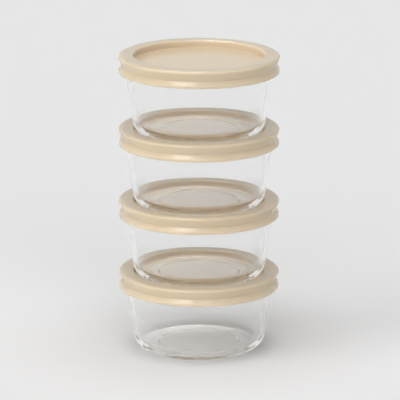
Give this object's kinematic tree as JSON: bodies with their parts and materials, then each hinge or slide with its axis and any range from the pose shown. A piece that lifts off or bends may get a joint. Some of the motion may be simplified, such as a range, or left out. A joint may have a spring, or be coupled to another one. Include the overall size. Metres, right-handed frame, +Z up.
{
  "type": "stack of glass storage containers",
  "caption": "Round glass food storage bowls with press-on plastic lids, each bowl standing in the recess of the lid below it.",
  "frame": {"origin": "middle of the bottom bowl's foot, on the surface that the stack stands on", "axes": "+Z up along the common axis of every bowl and lid; X and Y are any two level directions, since each piece is a full turn about +Z"},
  "size_m": [0.13, 0.13, 0.2439],
  "materials": {
    "glass": "clear pressed glass, fire-polished",
    "lid": "satin soft plastic, warm cream"
  },
  "bodies": {
    "bowl_1": {"bowl_1": "glass"},
    "lid_1": {"lid_1": "lid"},
    "bowl_2": {"bowl_2": "glass"},
    "lid_2": {"lid_2": "lid"},
    "bowl_3": {"bowl_3": "glass"},
    "lid_3": {"lid_3": "lid"},
    "bowl_4": {"bowl_4": "glass"},
    "lid_4": {"lid_4": "lid"}
  },
  "joints": [
    {"name": "lid_1_lift", "type": "slide", "parent": "bowl_1", "child": "lid_1", "axis": [0, 0, 1], "range_m": [0, 0.12]},
    {"name": "bowl_2_lift", "type": "slide", "parent": "lid_1", "child": "bowl_2", "axis": [0, 0, 1], "range_m": [0, 0.08]},
    {"name": "lid_2_lift", "type": "slide", "parent": "bowl_2", "child": "lid_2", "axis": [0, 0, 1], "range_m": [0, 0.12]},
    {"name": "bowl_3_lift", "type": "slide", "parent": "lid_2", "child": "bowl_3", "axis": [0, 0, 1], "range_m": [0, 0.08]},
    {"name": "lid_3_lift", "type": "slide", "parent": "bowl_3", "child": "lid_3", "axis": [0, 0, 1], "range_m": [0, 0.12]},
    {"name": "bowl_4_lift", "type": "slide", "parent": "lid_3", "child": "bowl_4", "axis": [0, 0, 1], "range_m": [0, 0.08]},
    {"name": "lid_4_lift", "type": "slide", "parent": "bowl_4", "child": "lid_4", "axis": [0, 0, 1], "range_m": [0, 0.12]}
  ]
}
